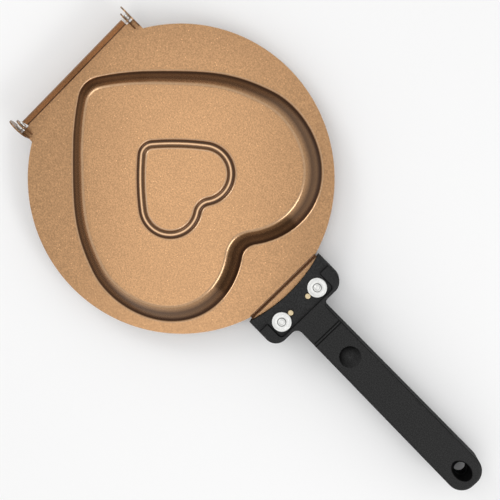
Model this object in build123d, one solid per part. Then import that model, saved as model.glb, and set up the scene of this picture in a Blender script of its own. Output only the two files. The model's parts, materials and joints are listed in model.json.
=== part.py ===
from build123d import *
import os
from math import atan2, cos, degrees, hypot, radians, sin, sqrt, tan

# Double-sided pancake pan. Two stamped pan halves, each with a raised heart, close on each other
# and turn on two pins at the ears opposite the handles. Everything is drawn in the pan's frame:
# X runs from the hinge to the handles, the pan's centre is at X 0, and Z 0 is the plane in which
# the rims meet. The last step moves it all so that the origin is at the bottom centre of the box.

# Driving dimensions, millimetres and degrees

# stamped sheet
PAN_RADIUS = 107.5
SHEET = 1.0
RIM_GAP = 0.1           # from the meeting plane to either rim
BEND = 0.6              # inner radius of the flange's bend

# raised heart: its outline at the rim, and the rise of its top above the meeting plane
HEART_HEIGHT = 14.6
HEART_RUN = 9.6         # how far the sloping wall leans in over its height
HEART_LOBE = (23.3, 37.1)
HEART_LOBE_RIM = 7.7    # flat rim left outside the lobes
HEART_TIP_RADIUS = 14.3
HEART_TIP_RIM = 12.2    # flat rim left beyond the tip
HEART_SIDE_RADIUS = 201.7
HEART_NOTCH_RADIUS = 12.0
HEART_FOOT_ROUND = 2.0
HEART_TOP_ROUND = 3.4

# small heart bead on the top
BEAD_HEIGHT = 2.0
BEAD_WIDTH = 7.0
BEAD_DRAFT = 24.0
BEAD_LOBE = (9.6, 16.6)
BEAD_LOBE_RADIUS = 19.0
BEAD_TIP_X = -24.9
BEAD_TIP_RADIUS = 7.6
BEAD_SIDE_RADIUS = 134.0
BEAD_NOTCH_RADIUS = 10.0
BEAD_BEVEL = 0.7

# handle tongue of each half
CHORD_INSET = 4.9       # from the pan's edge to the bend where the rim steps up
STEP_RISE = 2.4
STEP_RUN = 1.8
TONGUE_INSET = 1.1      # from either end of the chord to the tongue
TONGUE_LENGTH = 24.4
TONGUE_CORNER = 7.0

# hinge
BACK_INSET = 3.8        # from the pan's edge to the outer face of the hinge flange
FLANGE_HEIGHT = 8.0
AXIS_OVERHANG = 0.5     # from that face out to the hinge axis
AXIS_RISE = 5.2         # above the meeting plane
EAR_FOOT_LENGTH = 8.3
EAR_RELIEF = 1.9        # cut between the flange and either ear of its own half
INNER_EAR_RADIUS = 4.8
INNER_EAR_FACE = 51.1   # from the middle to the inner face of the upper half's ear
OUTER_EAR_RADIUS = 8.0
EAR_GAP = 2.5           # between the ears of the two halves
PIN_RADIUS = 1.6
PIN_CLEARANCE = 0.08
PIN_COLLAR_RADIUS = 2.4
PIN_HEAD_RADIUS = 2.6
PIN_HEAD_LENGTH = 1.2
SIDE_PLAY = 0.15

# handle fasteners, placed from the chord and the middle
RIVET_SETBACK = 17.0
RIVET_Y = 16.9
RIVET_RADIUS = 2.1
RIVET_CUP_RADIUS = 1.7
RIVET_CUP_DEPTH = 0.6
RIVET_HOLE_CLEARANCE = 0.1
RIVET_HEAD_RADIUS = 4.4
RIVET_HEAD_HEIGHT = 1.3
CLINCH_RADIUS = 2.9
CLINCH_HEIGHT = 0.8
WASHER_RADIUS = 6.8
WASHER_THICKNESS = 1.1
STUD_SETBACK = 16.8
STUD_Y = 8.2
STUD_RADIUS = 1.9
STUD_CLEARANCE = 0.1
STUD_END = 0.5

# handle
HANDLE_FRONT_GAP = 1.5  # from the pan's edge to the handle's curved front
HEAD_LENGTH = 27.4      # from the chord to the back of the head
SHOULDER_ROUND = 9.0
NECK_ROUND = 4.5
NECK_HALF = 12.2
GRIP_HALF = 13.0
GRIP_LENGTH = 160.0
END_ROUND = 11.0
HANDLE_TOP = 13.4       # above the meeting plane
HANDLE_GAP = 0.3        # from the meeting plane to either handle
HANDLE_EDGE_ROUND = 2.2
TONGUE_FIT = 0.2        # round the tongue's edges in the handle
TONGUE_COVER = 1.8      # handle wall beside the tongue
PAD_DEPTH = 1.9
PAD_STEP = 11.4         # from the chord to where the recessed pad gets narrower
PAD_MARGIN = 1.3        # beside the washers
PAD_BORDER = 2.3        # left at the back of the head
GROOVE_SETBACK = 17.0   # from the back of the head
GROOVE_WIDTH = 0.7
GROOVE_PITCH = 1.9
GROOVE_DEPTH = 0.6
DIMPLE_SETBACK = 39.0   # from the back of the head
DIMPLE_RADIUS = 7.5
DIMPLE_DEPTH = 1.9
HANG_INSET = 13.0       # from the end of the grip
HANG_RADIUS = 4.5
HANG_MOUTH = (8.4, 6.0)
HANG_MOUTH_DEPTH = 7.0
CORE_WALL = 2.6
CORE_SETBACK = 6.0      # from the back of the head to the first pocket
CORE_END_WALL = 6.5     # left round the hanging hole
RIB = 2.0
RIB_COUNT = 4

# Sizes worked out from the ones above

SHEET_TOP = RIM_GAP + SHEET
DRAFT = degrees(atan2(HEART_RUN, HEART_HEIGHT - SHEET_TOP))
HEART_LOBE_RADIUS = PAN_RADIUS - HEART_LOBE_RIM - hypot(*HEART_LOBE)
HEART_TIP_X = HEART_TIP_RADIUS + HEART_TIP_RIM - PAN_RADIUS
CHORD_X = PAN_RADIUS - CHORD_INSET
TONGUE_HALF = sqrt(PAN_RADIUS**2 - CHORD_X**2) - TONGUE_INSET
TONGUE_END = CHORD_X + TONGUE_LENGTH
TONGUE_FLOOR = RIM_GAP + STEP_RISE
TONGUE_TOP = TONGUE_FLOOR + SHEET
BACK_X = BACK_INSET - PAN_RADIUS
AXIS_X = BACK_X - AXIS_OVERHANG
EAR_FOOT_X = BACK_X + EAR_FOOT_LENGTH
OUTER_EAR_FACE = INNER_EAR_FACE + SHEET + EAR_GAP
FLANGE_HALF = INNER_EAR_FACE - EAR_RELIEF
RIVET_X = CHORD_X + RIVET_SETBACK
STUD_X = CHORD_X + STUD_SETBACK
HANDLE_FRONT_RADIUS = PAN_RADIUS + HANDLE_FRONT_GAP
HEAD_HALF = TONGUE_HALF + TONGUE_FIT + TONGUE_COVER
HEAD_END = CHORD_X + HEAD_LENGTH
GRIP_END = HEAD_END + GRIP_LENGTH
PAD_TOP = HANDLE_TOP - PAD_DEPTH
PAD_STEP_X = CHORD_X + PAD_STEP
PAD_HALF = RIVET_Y + WASHER_RADIUS + PAD_MARGIN
PAD_END = HEAD_END - PAD_BORDER
GROOVE_X = HEAD_END + GROOVE_SETBACK
DIMPLE_X = HEAD_END + DIMPLE_SETBACK
HANG_X = GRIP_END - HANG_INSET
CORE_START = HEAD_END + CORE_SETBACK
CORE_END = HANG_X - HANG_RADIUS - CORE_END_WALL


def polar(centre, radius, angle):
    return (centre[0] + radius * cos(angle), centre[1] + radius * sin(angle))


def heart(lobe, lobe_radius, tip_x, tip_radius, side_radius, notch_radius, inset=0.0):
    """Heart outline of tangent arcs: two lobes, a notch between them, long sides and a round tip.

    An inset keeps every arc's centre, so the new outline runs parallel to the old one.
    """
    tip = (tip_x, 0.0)
    span = hypot(lobe[0] - tip[0], lobe[1] - tip[1])
    to_lobe = side_radius - lobe_radius
    to_tip = side_radius - tip_radius
    along = (to_lobe**2 - to_tip**2 + span**2) / (2 * span)
    aside = sqrt(to_lobe**2 - along**2)
    ux, uy = (tip[0] - lobe[0]) / span, (tip[1] - lobe[1]) / span
    side = (lobe[0] + along * ux - aside * uy, lobe[1] + along * uy + aside * ux)
    notch = (lobe[0] + sqrt((lobe_radius + notch_radius) ** 2 - lobe[1] ** 2), 0.0)

    lobe_r, tip_r = lobe_radius - inset, tip_radius - inset
    side_r, notch_r = side_radius - inset, notch_radius + inset
    a_notch = atan2(notch[1] - lobe[1], notch[0] - lobe[0])
    a_side = atan2(lobe[1] - side[1], lobe[0] - side[0])
    a_tip = atan2(tip[1] - side[1], tip[0] - side[0])
    notch_low = (notch[0] - notch_r, 0.0)
    lobe_start = polar(lobe, lobe_r, a_notch)
    lobe_end = polar(lobe, lobe_r, a_side)
    tip_start = polar(tip, tip_r, a_tip)
    half_notch = (a_notch + radians(180) + radians(180)) / 2
    right = [
        ThreePointArc(notch_low, polar(notch, notch_r, half_notch), lobe_start),
        ThreePointArc(lobe_start, polar(lobe, lobe_r, (a_notch + a_side) / 2), lobe_end),
        ThreePointArc(lobe_end, polar(side, side_r, (a_side + a_tip) / 2), tip_start),
        ThreePointArc(tip_start, polar(tip, tip_r, (a_tip + radians(180)) / 2), (tip[0] - tip_r, 0)),
    ]
    left = [edge.mirror(Plane.XZ) for edge in right]
    return make_face(Wire(right + left))


def big_heart(inset=0.0):
    return heart(HEART_LOBE, HEART_LOBE_RADIUS, HEART_TIP_X, HEART_TIP_RADIUS,
                 HEART_SIDE_RADIUS, HEART_NOTCH_RADIUS, inset)


def bead_heart(inset=0.0):
    return heart(BEAD_LOBE, BEAD_LOBE_RADIUS, BEAD_TIP_X, BEAD_TIP_RADIUS,
                 BEAD_SIDE_RADIUS, BEAD_NOTCH_RADIUS, inset)


def drafted(face, floor, height, draft, top_round):
    """Prism of a face whose walls lean in, with its top edges rounded."""
    solid = extrude(Pos(0, 0, floor) * face, height, taper=draft)
    return fillet(solid.edges().group_by(Axis.Z)[-1], top_round)


def bead_ring(half_width, floor, height):
    """Heart-shaped ridge with sloping sides."""
    outer = extrude(Pos(0, 0, floor) * bead_heart(-half_width), height, taper=BEAD_DRAFT)
    inner = extrude(Pos(0, 0, floor) * bead_heart(half_width), height, taper=-BEAD_DRAFT)
    return outer - inner


def block(x0, x1, y0, y1, z0, z1):
    return Pos(x0, y0, z0) * Box(x1 - x0, y1 - y0, z1 - z0, align=(Align.MIN, Align.MIN, Align.MIN))


def rod(x, y, z0, z1, radius):
    return Pos(x, y, z0) * Cylinder(radius, z1 - z0, align=(Align.CENTER, Align.CENTER, Align.MIN))


def cross_rod(y0, y1, radius):
    """Round bar along the hinge axis, between two distances from the middle."""
    bar = Cylinder(radius, y1 - y0, align=(Align.CENTER, Align.CENTER, Align.MIN))
    return Pos(AXIS_X, y0, AXIS_RISE) * Rot(-90, 0, 0) * bar


def both_sides(solid):
    return [solid, solid.mirror(Plane.XZ)]


def rim_plate(hinge_half):
    """Flat rim with its hinge tongue, cut off at the handle's bend."""
    disc = Circle(PAN_RADIUS)
    tongue = Pos(BACK_X / 2, 0) * Rectangle(-BACK_X, 2 * hinge_half)
    outline = disc + tongue
    outline -= Pos(CHORD_X + PAN_RADIUS, 0) * Rectangle(2 * PAN_RADIUS, 2 * PAN_RADIUS)
    outline -= Pos(BACK_X - PAN_RADIUS, 0) * Rectangle(2 * PAN_RADIUS, 4 * PAN_RADIUS)
    return extrude(Pos(0, 0, RIM_GAP) * outline, SHEET)


def handle_tongue():
    """Strip that steps away from the meeting plane and carries the handle."""
    foot, ramp = CHORD_X, CHORD_X + STEP_RUN
    root = foot - SHEET
    side = make_face(Polyline(
        (root, RIM_GAP), (foot, RIM_GAP), (ramp, TONGUE_FLOOR), (TONGUE_END, TONGUE_FLOOR),
        (TONGUE_END, TONGUE_TOP), (ramp, TONGUE_TOP), (foot, SHEET_TOP), (root, SHEET_TOP), close=True))
    strip = extrude(Plane.XZ * side, TONGUE_HALF, both=True)
    corners = strip.edges().filter_by(Axis.Z).group_by(Axis.X)[-1]
    return fillet(corners, TONGUE_CORNER)


def hinge_flange():
    """Strip bent up along the hinge side of the rim."""
    face, inner = BACK_X, BACK_X + SHEET
    bend = (inner + BEND, SHEET_TOP + BEND)
    end = RIM_GAP + FLANGE_HEIGHT
    section = make_face(Wire([
        Line((bend[0], RIM_GAP), (bend[0], SHEET_TOP)),
        ThreePointArc((bend[0], SHEET_TOP), polar(bend, BEND, radians(225)), (inner, bend[1])),
        Line((inner, bend[1]), (inner, end)),
        Line((inner, end), (face, end)),
        Line((face, end), (face, bend[1])),
        ThreePointArc((face, bend[1]), polar(bend, BEND + SHEET, radians(225)), (bend[0], RIM_GAP)),
    ]))
    return extrude(Plane.XZ * section, FLANGE_HALF, both=True)


def flange_room():
    """Edge of the rim plate that the flange's bend takes the place of."""
    return block(BACK_X - SHEET, BACK_X + SHEET + BEND, -FLANGE_HALF, FLANGE_HALF, 0, SHEET_TOP)


def ear(face, radius, floor, foot_back):
    """Upright ear: a round end about the hinge axis that spreads into a straight foot."""
    centre = (AXIS_X, AXIS_RISE)
    foot = Pos((foot_back + EAR_FOOT_X) / 2, floor + SHEET / 2) * Rectangle(EAR_FOOT_X - foot_back, SHEET)
    outline = make_hull((foot + Pos(*centre) * Circle(radius)).edges())
    outline &= Pos(AXIS_X, floor + 2 * radius) * Rectangle(4 * radius, 4 * radius)
    plate = extrude(Plane.XZ.offset(-face) * outline, -SHEET)
    return plate


def corner_reliefs(ear_face):
    """Square corners of the tongue, cut out between the flange and the ears."""
    cut = block(BACK_X - SHEET, BACK_X + 2 * SHEET, FLANGE_HALF, ear_face, -SHEET, SHEET_TOP + BEND)
    return both_sides(cut)


def foot_edges(body, level):
    """Edges where the heart's wall meets the flat rim, on the face at this height."""
    rim = body.faces().filter_by(Axis.Z).filter_by_position(Axis.Z, level - SHEET / 4, level + SHEET / 4)
    return rim.sort_by(SortBy.AREA)[-1].inner_wires()[0].edges()


def pressed_disc(hinge_half):
    """Rim and raised heart, with the sheet's thickness followed inside."""
    slant = SHEET / cos(radians(DRAFT)) - SHEET * tan(radians(DRAFT))
    outer = drafted(big_heart(), SHEET_TOP - SHEET / 2, HEART_HEIGHT - SHEET_TOP + SHEET / 2, DRAFT,
                    HEART_TOP_ROUND)
    hollow = drafted(big_heart(slant), RIM_GAP, HEART_HEIGHT - SHEET - RIM_GAP, DRAFT,
                     HEART_TOP_ROUND - SHEET)
    body = rim_plate(hinge_half) + outer
    body = fillet(foot_edges(body, SHEET_TOP), HEART_FOOT_ROUND)
    body -= hollow
    return fillet(foot_edges(body, RIM_GAP), HEART_FOOT_ROUND + SHEET)


def shell(hinge_half):
    """What both halves share: pressed disc, bead, handle tongue with its holes, and hinge flange."""
    ridge = bead_ring(BEAD_WIDTH / 2, HEART_HEIGHT - SHEET / 2, BEAD_HEIGHT + SHEET / 2)
    bead = chamfer(ridge.edges().group_by(Axis.Z)[-1], BEAD_BEVEL)
    groove = bead_ring(BEAD_WIDTH / 2 - SHEET * 0.8, HEART_HEIGHT - SHEET * 1.5, BEAD_HEIGHT + SHEET / 2)
    body = pressed_disc(hinge_half) + bead + handle_tongue() - groove
    body -= [rod(RIVET_X, s * RIVET_Y, 0, HANDLE_TOP, RIVET_RADIUS + RIVET_HOLE_CLEARANCE) for s in (-1, 1)]
    body -= [rod(STUD_X, s * STUD_Y, 0, HANDLE_TOP, STUD_RADIUS) for s in (-1, 1)]
    return body - flange_room() + hinge_flange()


def upper_shell():
    body = shell(INNER_EAR_FACE + SHEET)
    body -= corner_reliefs(INNER_EAR_FACE)
    body += both_sides(ear(INNER_EAR_FACE, INNER_EAR_RADIUS, RIM_GAP, AXIS_X))
    hole = cross_rod(INNER_EAR_FACE - SHEET, INNER_EAR_FACE + 2 * SHEET, PIN_RADIUS + PIN_CLEARANCE)
    return body - both_sides(hole)


def lower_shell():
    body = shell(OUTER_EAR_FACE + SHEET)
    body -= corner_reliefs(OUTER_EAR_FACE)
    body = body.mirror(Plane.XY)
    body += both_sides(ear(OUTER_EAR_FACE, OUTER_EAR_RADIUS, -SHEET_TOP, BACK_X))
    hole = cross_rod(OUTER_EAR_FACE - SHEET, OUTER_EAR_FACE + 2 * SHEET, PIN_RADIUS)
    return body - both_sides(hole)


def hinge_pin():
    """Shouldered pin: head inside the upper ear, collar between the ears, peened flush outside."""
    head_end = INNER_EAR_FACE - SIDE_PLAY
    collar = INNER_EAR_FACE + SHEET + SIDE_PLAY
    head = cross_rod(head_end - PIN_HEAD_LENGTH, head_end, PIN_HEAD_RADIUS)
    head = chamfer(head.edges().group_by(Axis.Y)[0], PIN_HEAD_LENGTH / 3)
    shank = cross_rod(head_end - PIN_HEAD_LENGTH / 2, OUTER_EAR_FACE + SHEET, PIN_RADIUS)
    return head + shank + cross_rod(collar, OUTER_EAR_FACE, PIN_COLLAR_RADIUS)


def grip_outline():
    """Plan of the handle: T-shaped head that follows the rim, neck and long grip."""
    head = Pos((CHORD_X + HEAD_END) / 2, 0) * Rectangle(HEAD_END - CHORD_X, 2 * HEAD_HALF)
    grip = make_face(Polyline(
        (HEAD_END - NECK_ROUND, -NECK_HALF), (GRIP_END, -GRIP_HALF), (GRIP_END, GRIP_HALF),
        (HEAD_END - NECK_ROUND, NECK_HALF), close=True))
    plan = head + grip
    plan = fillet(plan.vertices().filter_by(lambda v: abs(v.X - GRIP_END) < 0.01), END_ROUND)
    plan = fillet(plan.vertices().filter_by(lambda v: abs(v.X - HEAD_END) < 0.01 and abs(v.Y) > 20),
                  SHOULDER_ROUND)
    plan = fillet(plan.vertices().filter_by(lambda v: abs(v.X - HEAD_END) < 0.01 and abs(v.Y) < 20),
                  NECK_ROUND)
    return plan - Circle(HANDLE_FRONT_RADIUS)


def washer_pad():
    """Recess of the head: as wide as the head in front, then narrower round the washers."""
    front = block(CHORD_X, PAD_STEP_X, -2 * HEAD_HALF, 2 * HEAD_HALF, PAD_TOP, HANDLE_TOP + 1)
    back = block(PAD_STEP_X - 1, PAD_END, -PAD_HALF, PAD_HALF, PAD_TOP, HANDLE_TOP + 1)
    corners = back.edges().filter_by(Axis.Z).group_by(Axis.X)[-1]
    return front + fillet(corners, SHOULDER_ROUND / 3)


def tongue_pocket():
    """Room for the tongue under the head, open towards the pan and the other half."""
    room = block(CHORD_X - 1, TONGUE_END + TONGUE_FIT, -TONGUE_HALF - TONGUE_FIT,
                 TONGUE_HALF + TONGUE_FIT, 0, TONGUE_TOP)
    corners = room.edges().filter_by(Axis.Z).group_by(Axis.X)[-1]
    return fillet(corners, TONGUE_CORNER)


def core_pockets():
    """Pockets that lighten the grip from below, with cross ribs left between them."""
    pitch = (CORE_END - CORE_START + RIB) / (RIB_COUNT + 1)
    half = NECK_HALF - CORE_WALL
    pockets = []
    for n in range(RIB_COUNT + 1):
        x0 = CORE_START + n * pitch
        room = block(x0, x0 + pitch - RIB, -half, half, 0, HANDLE_TOP - CORE_WALL)
        pockets.append(fillet(room.edges().filter_by(Axis.Z), CORE_WALL / 2))
    return pockets


def hang_hole():
    """Oval funnel that narrows into a round hole."""
    long_half, short_half = HANG_MOUTH
    mouth = Pos(HANG_X, 0, HANDLE_TOP) * Ellipse(long_half, short_half)
    throat = Pos(HANG_X, 0, HANDLE_TOP - HANG_MOUTH_DEPTH) * Circle(HANG_RADIUS)
    funnel = loft([mouth, throat])
    return funnel + rod(HANG_X, 0, -1, HANDLE_TOP, HANG_RADIUS)


def dimple():
    ball = (DIMPLE_RADIUS**2 + DIMPLE_DEPTH**2) / (2 * DIMPLE_DEPTH)
    return Pos(DIMPLE_X, 0, HANDLE_TOP - DIMPLE_DEPTH + ball) * Sphere(ball)


def band_grooves():
    return [block(GROOVE_X + s * GROOVE_PITCH / 2 - GROOVE_WIDTH / 2,
                  GROOVE_X + s * GROOVE_PITCH / 2 + GROOVE_WIDTH / 2,
                  -HEAD_HALF, HEAD_HALF, HANDLE_TOP - GROOVE_DEPTH, HANDLE_TOP + 1) for s in (-1, 1)]


def handle():
    body = extrude(Pos(0, 0, HANDLE_GAP) * grip_outline(), HANDLE_TOP - HANDLE_GAP)
    rim = body.faces().sort_by(Axis.Z)[-1].edges()
    front = rim.sort_by(lambda e: (e.center() - Vector(HANDLE_FRONT_RADIUS, 0, HANDLE_TOP)).length)[0]
    body = fillet([edge for edge in rim if edge is not front], HANDLE_EDGE_ROUND)
    body -= washer_pad()
    body -= tongue_pocket()
    body -= core_pockets()
    body -= hang_hole()
    body -= dimple()
    body -= band_grooves()
    body -= [rod(RIVET_X, s * RIVET_Y, 0, HANDLE_TOP, RIVET_RADIUS + RIVET_HOLE_CLEARANCE) for s in (-1, 1)]
    body -= [rod(STUD_X, s * STUD_Y, 0, HANDLE_TOP, STUD_RADIUS + STUD_CLEARANCE) for s in (-1, 1)]
    return body


def washer(y):
    ring = rod(RIVET_X, y, PAD_TOP, PAD_TOP + WASHER_THICKNESS, WASHER_RADIUS)
    ring = chamfer(ring.edges().group_by(Axis.Z)[-1], WASHER_THICKNESS / 3)
    return ring - rod(RIVET_X, y, 0, HANDLE_TOP, RIVET_RADIUS + RIVET_HOLE_CLEARANCE)


def rivet(y):
    """Rivet: flat head under the tongue, cupped end rolled over the washer."""
    clinch_floor = PAD_TOP + WASHER_THICKNESS
    head = rod(RIVET_X, y, TONGUE_FLOOR - RIVET_HEAD_HEIGHT, TONGUE_FLOOR, RIVET_HEAD_RADIUS)
    shank = rod(RIVET_X, y, TONGUE_FLOOR - RIVET_HEAD_HEIGHT / 2, clinch_floor + CLINCH_HEIGHT, RIVET_RADIUS)
    clinch = rod(RIVET_X, y, clinch_floor, clinch_floor + CLINCH_HEIGHT, CLINCH_RADIUS)
    clinch = chamfer(clinch.edges().group_by(Axis.Z)[-1], CLINCH_HEIGHT / 2)
    end = clinch_floor + CLINCH_HEIGHT
    return head + shank + clinch - rod(RIVET_X, y, end - RIVET_CUP_DEPTH, end + 1, RIVET_CUP_RADIUS)


def stud(y):
    """Locating stud set in the tongue, with a bevelled end just above the washer pad."""
    pin = rod(STUD_X, y, TONGUE_FLOOR, PAD_TOP + STUD_END, STUD_RADIUS)
    return chamfer(pin.edges().group_by(Axis.Z)[-1], STUD_END)


def below(solid):
    return solid.mirror(Plane.XY)


def build():
    nodes = {
        "upper_shell": [upper_shell()],
        "lower_shell": [lower_shell()],
        "upper_handle": [handle()],
        "upper_washers": [washer(s * RIVET_Y) for s in (-1, 1)],
        "upper_rivets": [rivet(s * RIVET_Y) for s in (-1, 1)],
        "upper_locating_studs": [stud(s * STUD_Y) for s in (-1, 1)],
        "hinge_pin_left": [hinge_pin()],
        "hinge_pin_right": [hinge_pin().mirror(Plane.XZ)],
    }
    for name in ("handle", "washers", "rivets", "locating_studs"):
        nodes["lower_" + name] = [below(solid) for solid in nodes["upper_" + name]]
    return nodes


def write(nodes):
    os.makedirs("parts", exist_ok=True)
    box = Compound([s for solids in nodes.values() for s in solids]).bounding_box()
    home = Pos(-(box.min.X + box.max.X) / 2, -(box.min.Y + box.max.Y) / 2, -box.min.Z)
    for name, solids in nodes.items():
        placed = [home * solid for solid in solids]
        shape = placed[0] if len(placed) == 1 else Compound(children=placed)
        export_step(shape, f"parts/{name}.step")
    print("hinge axis X, Z in mm:", AXIS_X + home.position.X, AXIS_RISE + home.position.Z)
    print("pan centre X and meeting plane Z in mm:", home.position.X, home.position.Z)
    print("box in mm:", box.size)


write(build())
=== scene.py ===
"""Double-sided pancake pan: two stamped heart halves on hinge pins, each with a riveted moulded handle.

All sizes are millimetres in the pan's frame: X runs from the hinge to the handles, the pan's centre
is at X 0 and Z 0 is the plane in which the two rims meet.
"""

import json
from math import atan2, cos, hypot, pi, sin, sqrt, tan

import bmesh
import bpy
import numpy as np
from bpy.props import FloatProperty, FloatVectorProperty, IntProperty, PointerProperty
from mathutils import Matrix, Vector


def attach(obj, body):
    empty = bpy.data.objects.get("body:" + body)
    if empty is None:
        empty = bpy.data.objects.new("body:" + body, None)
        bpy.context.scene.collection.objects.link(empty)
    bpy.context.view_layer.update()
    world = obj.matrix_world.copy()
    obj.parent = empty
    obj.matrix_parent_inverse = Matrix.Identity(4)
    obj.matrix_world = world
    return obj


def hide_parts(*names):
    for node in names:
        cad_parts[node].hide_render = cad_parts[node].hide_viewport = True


bl_info = {
    "name": "Double-Sided Pancake Pan",
    "version": (1, 0, 0),
    "blender": (4, 5, 0),
    "location": "3D View > Sidebar > Pancake Pan",
    "description": "Builds a hinged heart pancake pan with copper-coloured halves and black handles",
    "category": "Object",
}

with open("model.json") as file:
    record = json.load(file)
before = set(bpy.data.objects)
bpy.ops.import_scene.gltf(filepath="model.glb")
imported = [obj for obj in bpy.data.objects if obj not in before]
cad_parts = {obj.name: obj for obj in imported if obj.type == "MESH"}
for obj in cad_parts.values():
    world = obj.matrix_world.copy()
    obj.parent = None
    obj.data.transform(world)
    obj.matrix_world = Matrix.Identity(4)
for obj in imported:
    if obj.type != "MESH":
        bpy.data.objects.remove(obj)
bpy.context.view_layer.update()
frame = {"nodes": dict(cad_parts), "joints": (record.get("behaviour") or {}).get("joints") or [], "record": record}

HINGE = frame["joints"][0]["pos_m"]
MM = 0.001
HALVES = {"upper": 1, "lower": -1}

AXIS = (-104.2, 5.2)                        # X and Z of the hinge axis
HOME = Vector((HINGE[0] - AXIS[0] * MM, HINGE[1], HINGE[2] - AXIS[1] * MM))
HANDLE_FACE = 10.0                          # the grips' wide faces lie farther from the meeting plane
BACK_X = -103.7                             # outer face of the hinge flange
RELIEF_X = -101.7                           # end of the cut between the flange and an ear
EAR_FOOT_X = -95.4                          # end of an ear on the rim
EARS = {1: (51.1, 4.8), -1: (54.6, 8.0)}    # inner face and radius of either half's ears
FLANGE_BEND = 0.6                           # inner radius
TONGUE_HALF, TONGUE_END = 31.0, 127.0       # half width, and X of the tongue's end
STEP_FOOT, STEP_RUN = 0.7, 1.8              # flat before the step to the tongue, and its slope
STEP_STEPS = 5                              # facets of either rounding
EDGE_BREAK = 0.18                           # width of the sheet's broken edges

# Painted shade for the handle step, the ears and the hinge flange, with a faint painted highlight on the flange's
# face, on the same scale as the way up the heart's wall
STEP_PAINTED_SHADE, EAR_PAINTED_SHADE = 0.45, 0.7
FLANGE_PAINTED_SHADE_AND_HIGHLIGHT = (0.0, 0.2, 0.3, 0.3, 0.3, 0.3, 0.3, 0.89, 0.89, 0.5)


def size(name, default, description):
    return FloatProperty(name=name, default=default, description=description + ", mm", min=0.0)


def power(name, default, description):
    return FloatProperty(name=name, default=default, description=description + ", W", min=0.0)


def colour(name, default, description):
    return FloatVectorProperty(name=name, default=default, description=description,
                               subtype="COLOR", size=3, min=0.0, max=1.0)


class PancakePanShellSizes(bpy.types.PropertyGroup):
    pan_radius: size("Pan radius", 107.5, "Radius of the flat rim")
    sheet: size("Sheet", 1.0, "Thickness of the stamped sheet")
    rim_gap: size("Rim gap", 0.1, "From the meeting plane to either rim")
    heart_height: size("Heart height", 14.6, "Rise of the heart above the meeting plane")
    heart_lean: size("Heart lean", 0.711, "How far the heart's wall leans in for each mm of rise")
    foot_round: size("Foot rounding", 2.0, "Radius where the wall meets the rim")
    top_round: size("Top rounding", 3.4, "Radius where the wall meets the heart's top")
    tip_blunt: size("Tip bluntness", 9.5, "Extra radius of the tip at the heart's top")
    bead_height: size("Bead height", 2.0, "Rise of the small heart bead")
    bead_half: size("Bead half-width", 3.3, "Half the width of the bead's foot")
    chord: size("Chord", 102.6, "Where the rim steps up to the handle")
    step_rise: size("Step rise", 2.4, "Height of the step under the handle")
    flange_height: size("Flange height", 8.0, "Height of the hinge flange")
    flange_half: size("Flange half-length", 49.2, "Half the length of the hinge flange")
    flange_lean: size("Flange lean", 1.5, "How far the flange's edge leans out")


class PancakePanHandleSizes(bpy.types.PropertyGroup):
    voxel: FloatProperty(name="Voxel", default=0.38, min=0.2,
                         description="Grain of the moulding's rounded skin, mm")
    soften: IntProperty(name="Softening", default=1, min=0,
                        description="How many times the moulded edges are softened")
    groove_x: size("Groove place", 147.0, "From the pan's centre to the pair of grooves")
    groove_pitch: size("Groove pitch", 1.9, "Between the two grooves")
    dimple_x: size("Dimple place", 169.0, "From the pan's centre to the thumb dimple")
    dimple_radius: size("Dimple radius", 7.5, "Radius of the thumb dimple")


class PancakePanFastenerSizes(bpy.types.PropertyGroup):
    rivet_x: size("Rivet place", 119.6, "From the pan's centre to the rivets")
    rivet_y: size("Rivet spacing", 16.9, "From the middle to either rivet")
    pad_top: size("Pad height", 11.5, "Height of the washer pad above the meeting plane")
    washer_radius: size("Washer radius", 6.8, "Outer radius of a washer")
    washer_thickness: size("Washer thickness", 1.1, "Thickness of a washer")
    clinch_radius: size("Clinch radius", 2.9, "Radius of a rivet's rolled end")
    stud_x: size("Stud place", 119.4, "From the pan's centre to the locating studs")
    stud_y: size("Stud spacing", 8.2, "From the middle to either stud")
    stud_radius: size("Stud radius", 1.9, "Radius of a locating stud")
    pin_radius: size("Pin radius", 1.6, "Radius of a hinge pin")


class PancakePanColours(bpy.types.PropertyGroup):
    copper: colour("Copper", (0.48, 0.27, 0.13), "Copper-coloured coating on the flats")
    # Painted highlight: the colour laid along the wall's foot and top and on the bead's crest
    copper_painted_highlight: colour("Pale copper", (0.85, 0.62, 0.42), "Worn coating along the pressed edges")
    # Painted shade: the colour laid in the pressed walls and the bead's sides
    copper_painted_shade: colour("Dark copper", (0.055, 0.026, 0.013), "Coating deep in the pressed walls")
    stud: colour("Stud", (0.74, 0.60, 0.37), "Locating studs")
    handle_black: colour("Handle black", (0.016, 0.016, 0.016), "Moulded handle")
    aluminium: colour("Aluminium", (0.82, 0.82, 0.80), "Washers and rivets")


class PancakePanStageSettings(bpy.types.PropertyGroup):
    camera_place: FloatVectorProperty(name="Camera place", default=(0.0802, 0.0673, 0.6931), size=3,
                                      subtype="XYZ", unit="LENGTH",
                                      description="From the middle of the closed rims")
    lens: FloatProperty(name="Lens", default=72.2, description="Focal length, mm", min=1.0)
    soft_light: power("Soft light", 1.15, "Power of the long light overhead")
    hinge_light: power("Hinge light", 2.6, "Power of the light beyond the hinge's left end")
    side_light: power("Side light", 5.0, "Power of the light beyond the pan's right side")
    room_light: FloatProperty(name="Room light", default=0.75,
                              description="Strength of the room's even light")


# Shapes in the pan's frame ---------------------------------------------------------------------

# Tangent arcs: centre and radius of the +Y lobe, the tip's centre and radius, the long side, the notch
BIG_HEART = dict(lobe=(23.3, 37.1), lobe_r=56.0, tip_x=-81.0, tip_r=14.3, side_r=201.7, notch_r=12.0)
BEAD_HEART = dict(lobe=(10.2, 16.0), lobe_r=19.1, tip_x=-22.5, tip_r=8.0, side_r=177.0, notch_r=9.5)
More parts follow.
